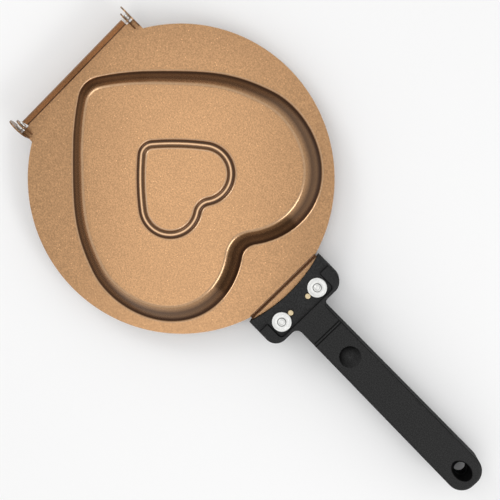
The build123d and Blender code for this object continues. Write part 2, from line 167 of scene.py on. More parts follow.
# Swell of the big heart in mm by cycles a turn, at the wall's foot and at its top
FOOT_WAVES = (0.06, 0.70, -0.19, 0.34, -0.12, -1.20, -0.34)
TOP_WAVES = (-0.65, -0.21, 0.05, 0.48, 0.08, -1.16, -0.40)
ARC_STEPS = (10, 56, 40, 16)    # notch, lobe, side, tip
TIP_AT_FOOT = 0.35              # share of the tip's bluntness that its foot has
WALL_FLATS = (3.0, 4.0)         # flat rings outside and inside the heart's wall
BEAD_FLAT = 2.0                 # flat ring either side of the bead
BEAD_LEAN = 0.8                 # how far the bead's sides lean in for each mm of rise
BEAD_ROUNDS = (1.0, 1.35, 1.35, 1.0)


def arc(centre, radius, start, end, steps):
    """Points from one angle to another round a centre."""
    return [(centre[0] + radius * cos(start + (end - start) * i / steps),
             centre[1] + radius * sin(start + (end - start) * i / steps)) for i in range(steps + 1)]


def heart_loop(lobe, lobe_r, tip_x, tip_r, side_r, notch_r, grow, blunt=0.0, waves=()):
    """Points round a heart of tangent arcs, from the notch by the +Y lobe to the tip and back.

    A blunt heart has that much more radius at its tip, still tangent to the same long sides.
    Waves of 0, 1, 2 and more cycles a turn move the outline in or out by that many millimetres.
    """
    tip = (tip_x, 0.0)
    span = hypot(lobe[0] - tip[0], lobe[1] - tip[1])
    to_lobe, to_tip = side_r - lobe_r, side_r - tip_r
    along = (to_lobe**2 - to_tip**2 + span**2) / (2 * span)
    aside = sqrt(to_lobe**2 - along**2)
    ux, uy = (tip[0] - lobe[0]) / span, (tip[1] - lobe[1]) / span
    side = (lobe[0] + along * ux - aside * uy, lobe[1] + along * uy + aside * ux)
    tip_r += blunt
    tip = (side[0] - sqrt((side_r - tip_r) ** 2 - side[1] ** 2), 0.0)
    notch = (lobe[0] + sqrt((lobe_r + notch_r) ** 2 - lobe[1] ** 2), 0.0)
    a_notch = atan2(notch[1] - lobe[1], notch[0] - lobe[0])
    a_side = atan2(lobe[1] - side[1], lobe[0] - side[0])
    a_tip = atan2(tip[1] - side[1], tip[0] - side[0])
    n_notch, n_lobe, n_side, n_tip = ARC_STEPS
    half = arc(notch, notch_r - grow, pi, a_notch + pi, n_notch)
    half += arc(lobe, lobe_r + grow, a_notch, a_side, n_lobe)[1:]
    half += arc(side, side_r + grow, a_side, a_tip, n_side)[1:]
    half += arc(tip, tip_r + grow, a_tip, pi, n_tip)[1:]
    for i, (x, y) in enumerate(half):
        turn = atan2(y, x)
        swell = 1 + sum(w * cos(k * turn) for k, w in enumerate(waves)) / hypot(x, y)
        half[i] = (x * swell, y * swell)
    return half + [(x, -y) for x, y in reversed(half[1:-1])]


def rounded(points, radii, steps=7):
    """Open polyline whose inner corners are replaced by arcs of the given radii."""
    line = [points[0]]
    for before, corner, after, radius in zip(points, points[1:], points[2:], radii):
        u = Vector(before) - Vector(corner)
        v = Vector(after) - Vector(corner)
        u.normalize()
        v.normalize()
        half = u.angle(v) / 2
        reach = radius / tan(half)
        centre = Vector(corner) + (u + v).normalized() * radius / sin(half)
        start = Vector(corner) + u * reach - centre
        sweep = (Vector(corner) + v * reach - centre).angle_signed(start)
        for i in range(steps + 1):
            t = sweep * i / steps
            spot = centre + Vector((start.x * cos(t) - start.y * sin(t), start.x * sin(t) + start.y * cos(t)))
            line.append((spot.x, spot.y))
    return line + [points[-1]]


def travelled(line):
    """Share of a polyline's length at each of its points."""
    reach = [0.0]
    for a, b in zip(line, line[1:]):
        reach.append(reach[-1] + hypot(b[0] - a[0], b[1] - a[1]))
    return [r / reach[-1] for r in reach]


def convex_hull(points):
    """Corners of the smallest convex outline round (x, z) points."""
    points = sorted(set(points))
    chains = []
    for run in (points, points[::-1]):
        chain = []
        for p in run:
            while len(chain) > 1 and ((chain[-1][0] - chain[-2][0]) * (p[1] - chain[-2][1])
                                      - (chain[-1][1] - chain[-2][1]) * (p[0] - chain[-2][0])) <= 1e-9:
                chain.pop()
            chain.append(p)
        chains.append(chain[:-1])
    return chains[0] + chains[1]


# Mesh helpers ----------------------------------------------------------------------------------

def loop_of(bm, points, z, marks=()):
    """Vertices at (x, y) points of one height, with a value on each given layer."""
    verts = [bm.verts.new((x, y, z)) for x, y in points]
    for layer, value in marks:
        for v in verts:
            v[layer] = value
    return verts


def bridge(bm, outer, inner):
    """Closed band of quads between two loops."""
    for i in range(len(outer)):
        j = (i + 1) % len(outer)
        bm.faces.new((outer[i], outer[j], inner[j], inner[i]))


def lathe(bm, profile, steps=56):
    """Turns a profile of (radius, height) round Z.

    The profile's ends lie on the axis, or it is a closed loop.
    """
    rings = []
    closed = profile[0] == profile[-1]
    for r, z in profile[:-1] if closed else profile:
        if r == 0:
            rings.append([bm.verts.new((0, 0, z))])
        else:
            rings.append([bm.verts.new((r * cos(2 * pi * i / steps), r * sin(2 * pi * i / steps), z))
                          for i in range(steps)])
    pairs = list(zip(rings, rings[1:]))
    if closed:
        pairs.append((rings[-1], rings[0]))
    for a, b in pairs:
        for i in range(steps):
            j = (i + 1) % steps
            corners = [a[i % len(a)], a[j % len(a)], b[j % len(b)], b[i % len(b)]]
            bm.faces.new(list(dict.fromkeys(corners)))
    bmesh.ops.recalc_face_normals(bm, faces=bm.faces)


def new_piece(name, bm, material, side=1):
    """Mesh object from pan-frame millimetres, mirrored in the meeting plane for the lower half."""
    if side < 0:
        bmesh.ops.transform(bm, matrix=Matrix.Diagonal((1, 1, -1, 1)), verts=bm.verts)
        bmesh.ops.reverse_faces(bm, faces=bm.faces)
    bmesh.ops.transform(bm, matrix=Matrix.Translation(HOME) @ Matrix.Scale(MM, 4), verts=bm.verts)
    mesh = bpy.data.meshes.new(name)
    bm.to_mesh(mesh)
    bm.free()
    return shown(name, mesh, material)


def shown(name, mesh, material):
    """Smooth object of a mesh in the scene, with one material."""
    piece = bpy.data.objects.new(name, mesh)
    bpy.context.scene.collection.objects.link(piece)
    mesh.materials.clear()
    mesh.materials.append(material)
    mesh.polygons.foreach_set("use_smooth", [True] * len(mesh.polygons))
    return piece


def baked(piece, name, material):
    """Plain mesh object from a piece's evaluated modifiers. The piece itself goes."""
    bpy.context.view_layer.update()
    graph = bpy.context.evaluated_depsgraph_get()
    mesh = bpy.data.meshes.new_from_object(piece.evaluated_get(graph), preserve_all_data_layers=True,
                                           depsgraph=graph)
    bpy.data.objects.remove(piece)
    mesh.name = name
    return shown(name, mesh, material)


def stand_for(piece, node):
    """Lets a piece take a CAD node's place, on that node's body."""
    bodies = frame["record"]["behaviour"]["bodies"]
    body = "upper_half" if node in bodies["upper_half"] else "lower_half"
    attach(piece, body)
    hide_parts(node)


# Materials -------------------------------------------------------------------------------------

class Finish:
    """A node material with one Principled shader and short calls that add and join nodes."""

    def __init__(self, name, metallic, roughness, specular=0.5):
        self.material = bpy.data.materials.get(name)
        self.fresh = self.material is None
        if not self.fresh:
            return
        self.material = bpy.data.materials.new(name)
        self.material.use_nodes = True
        self.tree = self.material.node_tree
        self.shader = self.tree.nodes["Principled BSDF"]
        self.shader.inputs["Metallic"].default_value = metallic
        self.shader.inputs["Roughness"].default_value = roughness
        self.shader.inputs["Specular IOR Level"].default_value = specular
        self.place = self.node("ShaderNodeTexCoord").outputs["Object"]

    def node(self, kind, **inputs):
        made = self.tree.nodes.new(kind)
        for name, value in inputs.items():
            self.give(made.inputs[name.replace("_", " ")], value)
        return made

    def give(self, socket, value):
        if isinstance(value, bpy.types.NodeSocket):
            self.tree.links.new(value, socket)
        else:
            socket.default_value = value

    def noise(self, scale, detail=2.0, roughness=0.5):
        return self.node("ShaderNodeTexNoise", Vector=self.place, Scale=scale, Detail=detail,
                         Roughness=roughness).outputs["Fac"]

    def mark(self, name):
        reader = self.node("ShaderNodeAttribute")
        reader.attribute_name = name
        return reader.outputs["Fac"]

    def ramp(self, factor, stops):
        """Grey levels over a factor, from (place, level) stops."""
        made = self.node("ShaderNodeValToRGB", Fac=factor)
        elements = made.color_ramp.elements
        while len(elements) < len(stops):
            elements.new(1.0)
        for element, (place, tone) in zip(elements, stops):
            element.position = place
            element.color = (tone, tone, tone, 1)
        return made.outputs["Color"]

    def mix(self, factor, first, second):
        made = self.tree.nodes.new("ShaderNodeMix")
        made.data_type = "RGBA"
        for name, value in (("Factor_Float", factor), ("A_Color", first), ("B_Color", second)):
            socket = next(s for s in made.inputs if s.identifier == name)
            if isinstance(value, tuple):
                value = (*value, 1)
            self.give(socket, value)
        return next(s for s in made.outputs if s.identifier == "Result_Color")

    def maths(self, operation, first, second=0.0):
        made = self.tree.nodes.new("ShaderNodeMath")
        made.operation = operation
        self.give(made.inputs[0], first)
        self.give(made.inputs[1], second)
        return made.outputs[0]

    def finish(self, colour, roughness=None, height=None, depth=0.0001, strength=0.3):
        """Joins what was made to the shader, with a bump of that depth in metres."""
        self.give(self.shader.inputs["Base Color"], colour)
        if roughness is not None:
            self.give(self.shader.inputs["Roughness"], roughness)
        if height is not None:
            bump = self.node("ShaderNodeBump", Strength=strength, Distance=depth, Height=height)
            self.give(self.shader.inputs["Normal"], bump.outputs["Normal"])
        return self.material


def scaled(tone, by):
    return tuple(min(1.0, by * c) for c in tone)


# Painted shade and painted highlights laid on the coating by the share of the way up the heart's wall, and across
# its bead
WALL_PAINTED_SHADE = ((0.05, 0.0), (0.10, 1.0), (0.20, 1.0), (0.34, 0.72), (0.46, 0.80), (0.58, 0.86), (0.68, 0.62),
             (0.80, 0.34), (0.92, 0.0))
WALL_PAINTED_HIGHLIGHT = ((0.0, 0.0), (0.03, 0.4), (0.06, 0.0), (0.86, 0.0), (0.92, 0.25), (0.96, 0.2), (1.0, 0.0))
BEAD_PAINTED_SHADE = ((0.12, 0.0), (0.20, 0.9), (0.40, 0.95), (0.46, 0.0), (0.54, 0.0), (0.60, 0.9), (0.78, 0.75),
             (0.88, 0.0))
BEAD_PAINTED_HIGHLIGHT = ((0.0, 0.0), (0.07, 0.6), (0.12, 0.0), (0.45, 0.0), (0.50, 0.7), (0.55, 0.0), (0.86, 0.0),
             (0.93, 0.8), (1.0, 0.0))


def copper_coating():
    """Satin copper coating with metal flake, with painted highlights along the pressed edges and painted shade in
    the pressed walls.
    """
    tone = bpy.context.scene.pancake_pan_colours
    it = Finish("satin_copper", 0.68, 0.3)
    if not it.fresh:
        return it.material
    flake = it.noise(1050.0, 2.0, 0.6)
    cloud = it.noise(38.0, 4.0)
    base = it.mix(it.ramp(flake, ((0.36, 0.0), (0.66, 1.0))), scaled(tone.copper, 0.78),
                  scaled(tone.copper, 1.22))
    base = it.mix(it.ramp(cloud, ((0.35, 0.0), (0.75, 0.25))), base, scaled(tone.copper, 0.8))
    wall, ridge = it.mark("climb"), it.mark("ridge")
    # Painted shade in the heart's wall, the bead's sides, the step, the ears and the hinge flange
    dark = it.maths("MAXIMUM", it.ramp(wall, WALL_PAINTED_SHADE), it.ramp(ridge, BEAD_PAINTED_SHADE))
    # Painted highlights along the wall's foot and top, the bead's feet and its crest
    pale = it.maths("MAXIMUM", it.ramp(wall, WALL_PAINTED_HIGHLIGHT), it.ramp(ridge, BEAD_PAINTED_HIGHLIGHT))
    base = it.mix(dark, base, tuple(tone.copper_painted_shade))
    base = it.mix(pale, base, tuple(tone.copper_painted_highlight))
    rough = it.maths("ADD", it.maths("MULTIPLY", flake, 0.14), 0.17)
    return it.finish(base, rough, flake, 0.00006, 0.3)


def handle_moulding():
    """Matt black moulded plastic with a fine spark-eroded grain, and painted shade: near black, with less sheen,
    in creases, the grooves, the dimple's hinge side and the steep sides.
    """
    tone = bpy.context.scene.pancake_pan_colours
    it = Finish("grained_black", 0.0, 0.6, 0.2)
    if not it.fresh:
        return it.material
    grain = it.noise(1400.0, 2.0, 0.6)
    wear = it.noise(70.0, 3.0)
    base = it.mix(it.ramp(grain, ((0.38, 0.0), (0.66, 1.0))), scaled(tone.handle_black, 0.45),
                  scaled(tone.handle_black, 1.7))
    # Painted shade: near black with less sheen wherever the crease mark is set
    crease = it.mark("crease")
    base = it.mix(crease, base, (0.001, 0.001, 0.001))
    gloss = it.maths("MULTIPLY", it.maths("SUBTRACT", 1.0, crease), 0.22)
    it.give(it.shader.inputs["Specular IOR Level"], gloss)
    rough = it.maths("ADD", it.maths("MULTIPLY", wear, 0.16), 0.52)
    return it.finish(base, rough, grain, 0.00012, 0.35)


def turned_aluminium():
    """Bright aluminium with faint turning rings round each rivet, and painted shade in a faint ring round the
    rivet's cup and a dark ring along the edge of its rolled end.
    """
    tone = bpy.context.scene.pancake_pan_colours
    it = Finish("turned_aluminium", 0.65, 0.34)
    if not it.fresh:
        return it.material
    sizes = bpy.context.scene.pancake_pan_fasteners
    split = it.node("ShaderNodeSeparateXYZ", Vector=it.place)
    x = it.maths("SUBTRACT", split.outputs["X"], HOME.x + sizes.rivet_x * MM)
    y = it.maths("SUBTRACT", it.maths("ABSOLUTE", split.outputs["Y"]), sizes.rivet_y * MM)
    reach = it.maths("SQRT", it.maths("ADD", it.maths("MULTIPLY", x, x), it.maths("MULTIPLY", y, y)))
    rings = it.maths("SINE", it.maths("MULTIPLY", reach, 14000.0))
    dust = it.noise(900.0, 3.0)
    base = it.mix(it.ramp(dust, ((0.4, 0.0), (0.75, 0.5))), tuple(tone.aluminium),
                  scaled(tone.aluminium, 0.72))
    centimetres = it.maths("MULTIPLY", reach, 100.0)
    # Painted shade: a faint ring at the cup's rim and a dark ring where the rolled end meets the washer
    painted_ring_shade = it.ramp(centimetres, ((0.14, 0.0), (0.16, 0.25), (0.19, 0.0), (0.245, 0.0), (0.26, 0.9),
                                 (0.30, 0.9), (0.32, 0.0)))
    base = it.mix(painted_ring_shade, base, (0.10, 0.10, 0.095))
    rough = it.maths("ADD", it.maths("MULTIPLY", dust, 0.15), 0.28)
    return it.finish(base, rough, it.maths("ADD", it.maths("MULTIPLY", rings, 0.3), dust), 0.00004, 0.3)


def bare_stud():
    """Locating stud with most of its coating worn off."""
    tone = bpy.context.scene.pancake_pan_colours
    it = Finish("worn_stud", 0.4, 0.4)
    if not it.fresh:
        return it.material
    return it.finish(it.mix(it.noise(700.0), scaled(tone.stud, 0.85), tuple(tone.stud)))


def pale_floor():
    """Plain pale floor, very slightly uneven."""
    it = Finish("pale_floor", 0.0, 0.85, 0.2)
    if not it.fresh:
        return it.material
    tint = (0.93, 0.93, 0.93)
    return it.finish(it.mix(it.noise(3.0), scaled(tint, 0.985), tint))


# Operators -------------------------------------------------------------------------------------

class PressShells(bpy.types.Operator):
    """Press both sheet halves: rim, raised heart, bead, hinge flange, ears and handle tongue"""
    bl_idname = "pancake_pan.press_shells"
    bl_label = "Press Shells"

    def heart_and_bead(self, bm, s, climb, ridge):
        """Skin of the heart's wall and top with the bead. Returns its outermost loop, flat on the rim."""
        top = s.rim_gap + s.sheet
        crest = s.heart_height
        foot = -0.5 * s.sheet * s.heart_lean
        brow = foot - (crest - top) * s.heart_lean
        outside, inside = WALL_FLATS
        wall = rounded([(outside, top), (foot, top), (brow, crest), (brow - inside, crest)],
                       [s.foot_round, s.top_round])
        shares = [0.0] + travelled(wall[1:-1]) + [1.0]
        loops = []
        for (g, z), share in zip(wall, shares):
            lift = (z - top) / (crest - top)
            waves = [low + (high - low) * lift for low, high in zip(FOOT_WAVES, TOP_WAVES)]
            blunt = s.tip_blunt * (TIP_AT_FOOT + (1 - TIP_AT_FOOT) * lift)
            outline = heart_loop(**BIG_HEART, grow=g, blunt=blunt, waves=waves)
            loops.append(loop_of(bm, outline, z, ((climb, share),)))
        half, rise = s.bead_half, s.bead_height
        lean = BEAD_LEAN * rise
        bead = rounded([(half + BEAD_FLAT, crest), (half, crest), (half - lean, crest + rise),
                        (lean - half, crest + rise), (-half, crest), (-half - BEAD_FLAT, crest)],
                       BEAD_ROUNDS, 5)
        shares = [0.0] + travelled(bead[1:-1]) + [1.0]
        marks = [((climb, 1.0), (ridge, share)) for share in shares]
        for (g, z), mark in zip(bead, marks):
            loops.append(loop_of(bm, heart_loop(**BEAD_HEART, grow=g), z, mark))
        for outer, inner in zip(loops, loops[1:]):
            bridge(bm, outer, inner)
        bm.faces.new(loops[-1])
        return loops[0]

    def rim_outline(self, s, side):
        """Half outline of the flat rim from the chord round to the hinge, then its mirror."""
        ear_face = EARS[side][0]
        edge = ear_face + s.sheet
        corner = atan2(sqrt(s.pan_radius**2 - s.chord**2), s.chord)
        shoulder = atan2(edge, -sqrt(s.pan_radius**2 - edge**2))
        half = [(s.chord - STEP_FOOT, TONGUE_HALF), (s.chord, TONGUE_HALF)]
        half += arc((0.0, 0.0), s.pan_radius, corner, shoulder, 130)
        half += [(BACK_X, edge), (BACK_X, ear_face), (RELIEF_X, ear_face), (RELIEF_X, s.flange_half),
                 (BACK_X + s.sheet + FLANGE_BEND, s.flange_half)]
        return half + [(x, -y) for x, y in reversed(half)]

    def strip(self, bm, facing, profile, half, divisions, marks):
        """Bent strip across the pan from (x, z) points, each row with its mark on a layer."""
        rows = [[bm.verts.new((x, half * (2 * i / divisions - 1), z)) for i in range(divisions + 1)]
                for x, z in profile]
        layer, values = marks
        for row, value in zip(rows, values):
            for v in row:
                v[layer] = value
        for a, b in zip(rows, rows[1:]):
            for i in range(divisions):
                quad = (a[i], b[i], b[i + 1], a[i + 1])
                bm.faces.new(quad if facing > 0 else quad[::-1])

    def ears(self, s, side):
        """Both ears of a half, round plates that stand on its rim."""
        bm = bmesh.new()
        climb = bm.verts.layers.float.new("climb")
        face, radius = EARS[side]
        floor = s.rim_gap if side > 0 else -s.rim_gap - s.sheet
        back = AXIS[0] if side > 0 else BACK_X
        drop = max(-1.0, (floor - AXIS[1]) / radius)
        cut = sqrt(1 - drop * drop) * radius
        ends = [p for p in arc(AXIS, radius, 0, 2 * pi, 72) if p[1] >= floor]
        ends += [(AXIS[0] - cut, AXIS[1] + drop * radius), (AXIS[0] + cut, AXIS[1] + drop * radius)]
        outline = convex_hull(ends + [(x, z) for x in (back, EAR_FOOT_X) for z in (floor, floor + s.sheet)])
        for y in (face, -face - s.sheet):
            lid = [bm.verts.new((x, y, z)) for x, z in outline]
            far = [bm.verts.new((x, y + s.sheet, z)) for x, z in outline]
            for v in lid + far:
                # painted shade over the whole ear
                v[climb] = EAR_PAINTED_SHADE
            bm.faces.new(lid)
            bm.faces.new(far[::-1])
            bridge(bm, far, lid)
        bmesh.ops.recalc_face_normals(bm, faces=bm.faces)
        return bm

    def skin(self, s, side):
        """Outer skin of a half's sheet without its ears, the right way up for the upper half."""
        top = s.rim_gap + s.sheet
        bm = bmesh.new()
        climb = bm.verts.layers.float.new("climb")
        ridge = bm.verts.layers.float.new("ridge")
        inner = self.heart_and_bead(bm, s, climb, ridge)
        outer = loop_of(bm, self.rim_outline(s, side), top)
        rim = [bm.edges.new((a, b)) for a, b in zip(outer, outer[1:] + outer[:1])]
        rim += [bm.edges.get((a, b)) for a, b in zip(inner, inner[1:] + inner[:1])]
        made = bmesh.ops.triangle_fill(bm, edges=rim, use_beauty=True, use_dissolve=False, normal=(0, 0, 1))
        for face in made["geom"]:
            if isinstance(face, bmesh.types.BMFace) and face.normal.z < 0:
                face.normal_flip()
        raised, landing = top + s.step_rise, s.chord + 8.0
        step = rounded([(s.chord - STEP_FOOT, top), (s.chord, top), (s.chord + STEP_RUN, raised),
                        (landing, raised)], [1.0, 1.0], STEP_STEPS)
        step.append((TONGUE_END, raised))
        # Painted shade across the slope of the step up to the tongue
        bends = 2 * (STEP_STEPS + 1)
        marks = [STEP_PAINTED_SHADE * sin(pi * min(i, bends) / bends) for i in range(len(step))]
        self.strip(bm, 1, step, TONGUE_HALF, 24, (climb, marks))
        back, low = BACK_X + s.sheet, top + FLANGE_BEND
        edge = s.rim_gap + s.flange_height
        lip = arc((back + FLANGE_BEND, low), FLANGE_BEND, -pi / 2, -pi, 6)
        lip += [(back - s.flange_lean * (z - low) / (edge - low), z) for z in (low + 0.6, edge - 0.5, edge)]
        # Painted shade on the flange's bend and top edge, with a faint painted highlight on its face
        self.strip(bm, -1, lip, s.flange_half, 48, (climb, FLANGE_PAINTED_SHADE_AND_HIGHLIGHT))
        bmesh.ops.remove_doubles(bm, verts=bm.verts, dist=0.01)
        return bm

    def press(self, half, side):
        """Gives a half's skin its thickness, adds the ears and breaks the edges."""
        s = bpy.context.scene.pancake_pan_shells
        copper = copper_coating()
        piece = new_piece(half + "_half_pressing", self.skin(s, side), copper, side)
        wall = piece.modifiers.new("sheet", "SOLIDIFY")
        wall.thickness = s.sheet * MM
        wall.offset = -1
        wall.use_even_offset = True
        plain = baked(piece, half + "_pressing", copper)
        ears = new_piece(half + "_ears", self.ears(s, side), copper)
        with bpy.context.temp_override(active_object=plain, selected_editable_objects=[plain, ears]):
            bpy.ops.object.join()
        edge = plain.modifiers.new("broken edges", "BEVEL")
        edge.width = EDGE_BREAK * MM
        edge.segments = 2
        edge.limit_method = "ANGLE"
        edge.angle_limit = 0.9
        edge.use_clamp_overlap = True
        even = plain.modifiers.new("even shading", "WEIGHTED_NORMAL")
        even.weight = 80
        done = baked(plain, half + "_copper_half", copper)
        stand_for(done, half + "_shell")

    def execute(self, context):
        for half, side in HALVES.items():
            self.press(half, side)
        return {"FINISHED"}


def mark_painted_shade(mesh, s):
    """Marks where a handle gets painted shade, from 0 to 1: creases, the two grooves, the dimple's wall, darkest
    at its rim on the hinge side, and the steep sides.

    A crease is where a vertex lies deeper than its neighbours, from 0.03 to 0.09 of a voxel.
    """
    count = len(mesh.vertices)
    ends = np.empty(2 * len(mesh.edges), dtype=np.int32)
    mesh.edges.foreach_get("vertices", ends)
    ends = ends.reshape(-1, 2)
    spots = np.empty(3 * count)
    mesh.vertices.foreach_get("co", spots)
    spots = spots.reshape(-1, 3)
    normals = np.empty(3 * count)
    mesh.vertices.foreach_get("normal", normals)
    total = np.zeros((count, 3))
    degree = np.zeros(count)
    for near, far in (ends.T, ends.T[::-1]):
        np.add.at(total, near, spots[far])
        np.add.at(degree, near, 1)
    normals = normals.reshape(-1, 3)
    hollow = ((total / np.maximum(degree, 1)[:, None] - spots) * normals).sum(1) / (s.voxel * MM)
    mark = np.clip((hollow - 0.03) / 0.06, 0.0, 1.0)
    x, y, z = (spots - np.array(HOME)).T / MM
    on_top = np.abs(z) > HANDLE_FACE
    groove = np.abs(np.abs(x - s.groove_x) - s.groove_pitch / 2) < s.voxel
    slope = np.abs(normals[:, 2])
    # painted shade in the two grooves
    mark[groove & on_top & (slope > 0.3)] = 0.9
    reach = np.hypot(x - s.dimple_x, y) / s.dimple_radius
    bowl = on_top & (reach < 1.0)
    # painted shade in the dimple, darkest at its rim on the hinge side
    mark[bowl] = reach[bowl] * np.clip(0.7 - 0.6 * (x[bowl] - s.dimple_x) / s.dimple_radius, 0.0, 1.0)
    # painted shade on the steep sides
    mark[slope < 0.6] = np.maximum(mark[slope < 0.6], 0.8)
    layer = mesh.attributes.new("crease", "FLOAT", "POINT")
    layer.data.foreach_set("value", mark)


class MouldHandles(bpy.types.Operator):
    """Mould both black handles, with softened edges all over"""
    bl_idname = "pancake_pan.mould_handles"
    bl_label = "Mould Handles"

    def execute(self, context):
        s = context.scene.pancake_pan_handles
        black = handle_moulding()
        for half in HALVES:
            node = half + "_handle"
            bm = bmesh.new()
            bm.from_mesh(frame["nodes"][node].data)
            bmesh.ops.remove_doubles(bm, verts=bm.verts, dist=0.002 * MM)
            mesh = bpy.data.meshes.new(node)
            bm.to_mesh(mesh)
            bm.free()
            rough = shown(half + "_handle_blank", mesh, black)
            skin = rough.modifiers.new("skin", "REMESH")
            skin.mode = "VOXEL"
            skin.voxel_size = s.voxel * MM
            soft = rough.modifiers.new("soft edges", "SMOOTH")
            soft.factor = 0.5
            soft.iterations = s.soften
            grip = baked(rough, half + "_grip", black)
            mark_painted_shade(grip.data, s)
            stand_for(grip, node)
        return {"FINISHED"}


def fastener_tree():
    """Geometry Nodes tree that sets two copies of a turned fastener either side of the handle's middle."""
    tree = bpy.data.node_groups.get("fastener_pair")
    if tree:
        return tree
    tree = bpy.data.node_groups.new("fastener_pair", "GeometryNodeTree")
    tree.is_modifier = True
    for label, kind in (("Fastener", "NodeSocketObject"), ("Place", "NodeSocketVector"),
                        ("Spacing", "NodeSocketFloat"), ("Finish", "NodeSocketMaterial")):
        tree.interface.new_socket(label, in_out="INPUT", socket_type=kind)
    tree.interface.new_socket("Geometry", in_out="OUTPUT", socket_type="NodeSocketGeometry")
    kinds = ("NodeGroupInput", "GeometryNodeMeshLine", "ShaderNodeCombineXYZ", "ShaderNodeVectorMath",
             "GeometryNodeObjectInfo", "GeometryNodeInstanceOnPoints", "GeometryNodeRealizeInstances",
             "GeometryNodeSetMaterial", "NodeGroupOutput")
    group_in, row, spread, start, source, copies, whole, paint, group_out = map(tree.nodes.new, kinds)
    given = group_in.outputs
    row.mode = "OFFSET"
    row.inputs["Count"].default_value = 2
    start.operation = "MULTIPLY_ADD"
    start.inputs[1].default_value = (-0.5, -0.5, -0.5)
    for outlet, inlet in (
            (given["Spacing"], spread.inputs["Y"]),
            (spread.outputs["Vector"], row.inputs["Offset"]),
            (spread.outputs["Vector"], start.inputs[0]),
            (given["Place"], start.inputs[2]),
            (start.outputs["Vector"], row.inputs["Start Location"]),
            (given["Fastener"], source.inputs["Object"]),
            (row.outputs["Mesh"], copies.inputs["Points"]),
            (source.outputs["Geometry"], copies.inputs["Instance"]),
            (copies.outputs["Instances"], whole.inputs["Geometry"]),
            (whole.outputs["Geometry"], paint.inputs["Geometry"]),
            (given["Finish"], paint.inputs["Material"]),
            (paint.outputs["Geometry"], group_out.inputs["Geometry"])):
        tree.links.new(outlet, inlet)
    return tree


def fasten_pairs(kind, profile, x, y, material, node):
    """Turns one fastener from its profile and sets a pair of them on either half."""
    for half, side in HALVES.items():
        bm = bmesh.new()
        lathe(bm, [(r * MM, side * z * MM) for r, z in profile])
        mesh = bpy.data.meshes.new(f"{half}_{kind}_blank")
        bm.to_mesh(mesh)
        bm.free()
        blank = shown(mesh.name, mesh, material)
        carrier = bpy.data.objects.new(f"{half}_{kind}_row", bpy.data.meshes.new(f"{half}_{kind}_row"))
        bpy.context.scene.collection.objects.link(carrier)
        pair = carrier.modifiers.new("pair", "NODES")
        pair.node_group = fastener_tree()
        values = {"Fastener": blank, "Place": HOME + Vector((x * MM, 0, 0)), "Spacing": 2 * y * MM,
                  "Finish": material}
        for item in pair.node_group.interface.items_tree:
            if item.in_out == "INPUT":
                pair[item.identifier] = values[item.name]
        done = baked(carrier, f"{half}_{kind}", material)
        bpy.data.objects.remove(blank)
        stand_for(done, f"{half}_{node}")


class FitWashers(bpy.types.Operator):
    """Lay the two bright washers on each handle's pad"""
    bl_idname = "pancake_pan.fit_washers"
    bl_label = "Fit Washers"

    def execute(self, context):
        s = context.scene.pancake_pan_fasteners
        low, thick, out, bore = s.pad_top, s.washer_thickness, s.washer_radius, 2.25
        profile = [(bore, low), (out - 0.35, low), (out, low + 0.3), (out, low + 0.62 * thick),
                   (out - 0.12, low + 0.85 * thick), (out - 0.4, low + thick), (out - 1.0, low + thick),
                   (out - 1.35, low + 0.86 * thick), (4.0, low + 0.84 * thick), (3.3, low + 0.93 * thick),
                   (bore + 0.25, low + thick), (bore, low + 0.9 * thick), (bore, low)]
        fasten_pairs("washers", profile, s.rivet_x, s.rivet_y, turned_aluminium(), "washers")
        return {"FINISHED"}


class RollRivets(bpy.types.Operator):
    """Set the flat-headed rivets and roll their cupped ends over the washers"""
    bl_idname = "pancake_pan.roll_rivets"
    bl_label = "Roll Rivets"

    def execute(self, context):
        s = context.scene.pancake_pan_fasteners
        floor = s.pad_top + s.washer_thickness
        top, lip = floor + 0.8, s.clinch_radius
        shank, head, base, seat = 2.1, 4.4, 1.2, 2.5
        cup = [(0, top - 0.6), (1.35, top - 0.62), (1.62, top - 0.55), (1.7, top - 0.2), (1.85, top - 0.03)]
        roll = [(shank, top), (2.45, top - 0.08), (lip - 0.2, top - 0.25), (lip, top - 0.5),
                (lip - 0.05, floor + 0.05), (lip - 0.2, floor), (shank, floor)]
        flat = [(shank, seat), (head - 0.2, seat), (head, seat - 0.2), (head, base + 0.5),
                (head - 0.25, base + 0.15), (head - 0.8, base), (0, base)]
        fasten_pairs("rivets", cup + roll + flat, s.rivet_x, s.rivet_y, turned_aluminium(), "rivets")
        return {"FINISHED"}


class SetStuds(bpy.types.Operator):
    """Set the two copper-coloured locating studs of each tongue"""
    bl_idname = "pancake_pan.set_studs"
    bl_label = "Set Studs"

    def execute(self, context):
        s = context.scene.pancake_pan_fasteners
        top, out = s.pad_top + 0.5, s.stud_radius
        profile = [(0, 2.5), (out, 2.5), (out, top - 0.5), (out - 0.1, top - 0.28), (out - 0.35, top - 0.1),
                   (out - 0.8, top), (0, top)]
        fasten_pairs("studs", profile, s.stud_x, s.stud_y, bare_stud(), "locating_studs")
        return {"FINISHED"}


